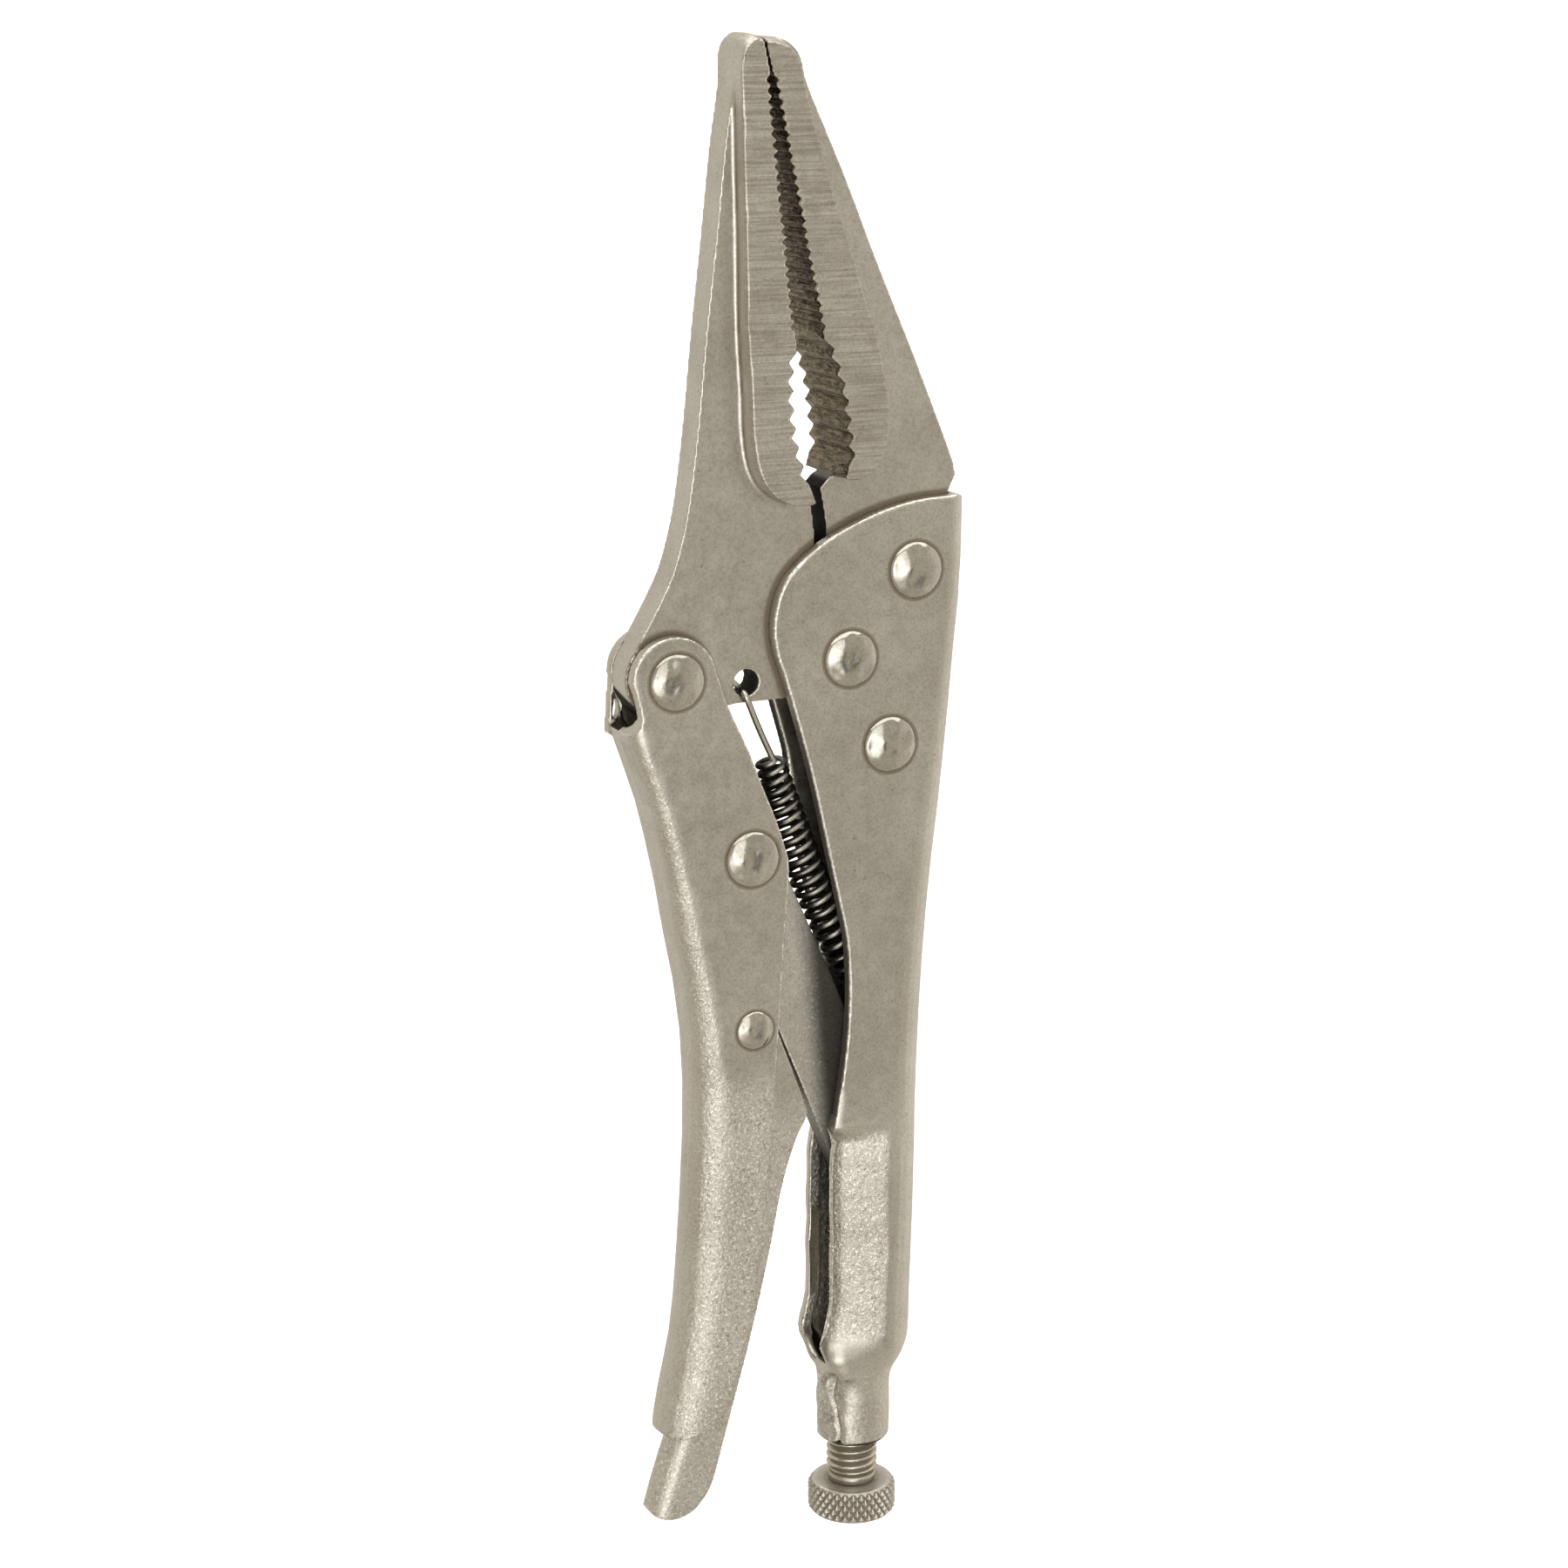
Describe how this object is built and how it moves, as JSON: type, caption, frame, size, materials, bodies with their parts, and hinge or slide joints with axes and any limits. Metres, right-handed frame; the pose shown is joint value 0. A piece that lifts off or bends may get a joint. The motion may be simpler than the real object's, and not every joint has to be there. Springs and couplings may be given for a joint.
{
  "type": "locking pliers, long nose",
  "caption": "Long-nose locking pliers with a toggle-locked lever, a release tail in the lever's end and a knurled adjusting screw.",
  "frame": {"origin": "middle of the lowest plane of the upright tool, which is the end face of the adjusting knob's level", "axes": "+Z along the length, from the adjusting knob to the jaw tips; +X from the lever to the fixed handle; -Y faces the viewer, square to the plates"},
  "size_m": [0.054, 0.0144, 0.2281],
  "materials": {
    "satin_nickel": "satin nickel plate, fine blasted grain",
    "dark_nickel": "satin nickel plate, duller",
    "screw_steel": "satin, plated steel",
    "rivet_steel": "bright, lightly polished"
  },
  "bodies": {
    "frame": {"fixed_handle": "satin_nickel", "upper_jaw": "satin_nickel", "upper_jaw_front_rivet": "rivet_steel", "upper_jaw_rear_rivet": "rivet_steel", "jaw_pivot_rivet": "rivet_steel", "return_spring": "screw_steel"},
    "jaw": {"lower_jaw": "satin_nickel"},
    "lever": {"lever_handle": "satin_nickel", "lever_pivot_rivet": "rivet_steel", "link_rivet": "rivet_steel", "release_rivet": "rivet_steel"},
    "link": {"toggle_link": "dark_nickel"},
    "release": {"release_lever": "satin_nickel"},
    "screw": {"adjusting_screw": "screw_steel"},
    "knob": {"screw_knob": "satin_nickel"}
  },
  "joints": [
    {"name": "jaw_open", "type": "hinge", "parent": "frame", "child": "jaw", "pos_m": [0.00785, 0, 0.138], "axis": [0, -1, 0], "range_deg": [0, 24], "deforming": ["return_spring"]},
    {"name": "lever_swing", "type": "hinge", "parent": "jaw", "child": "lever", "pos_m": [-0.01985, 0, 0.1369], "axis": [0, -1, 0], "range_deg": [-70, 0.5]},
    {"name": "link_swing", "type": "hinge", "parent": "lever", "child": "link", "pos_m": [-0.00805, 0, 0.1093], "axis": [0, -1, 0], "range_deg": [-0.5, 72]},
    {"name": "release_press", "type": "hinge", "parent": "lever", "child": "release", "pos_m": [-0.00775, 0, 0.0829], "axis": [0, -1, 0], "range_deg": [0, 5]},
    {"name": "screw_advance", "type": "slide", "parent": "frame", "child": "screw", "axis": [0, 0, -1], "range_m": [0, 0.025]},
    {"name": "screw_turn", "type": "hinge", "parent": "screw", "child": "knob", "pos_m": [0.01101, 0, 0.003], "axis": [0, 0, -1], "range_deg": [-5, 7210]}
  ],
  "couplings": [
    {"joint": "lever_swing", "follows": "jaw_open", "ratio": -2.888},
    {"joint": "link_swing", "follows": "jaw_open", "ratio": 2.97},
    {"joint": "screw_turn", "follows": "screw_advance", "rad_per_m": 5026.5}
  ]
}
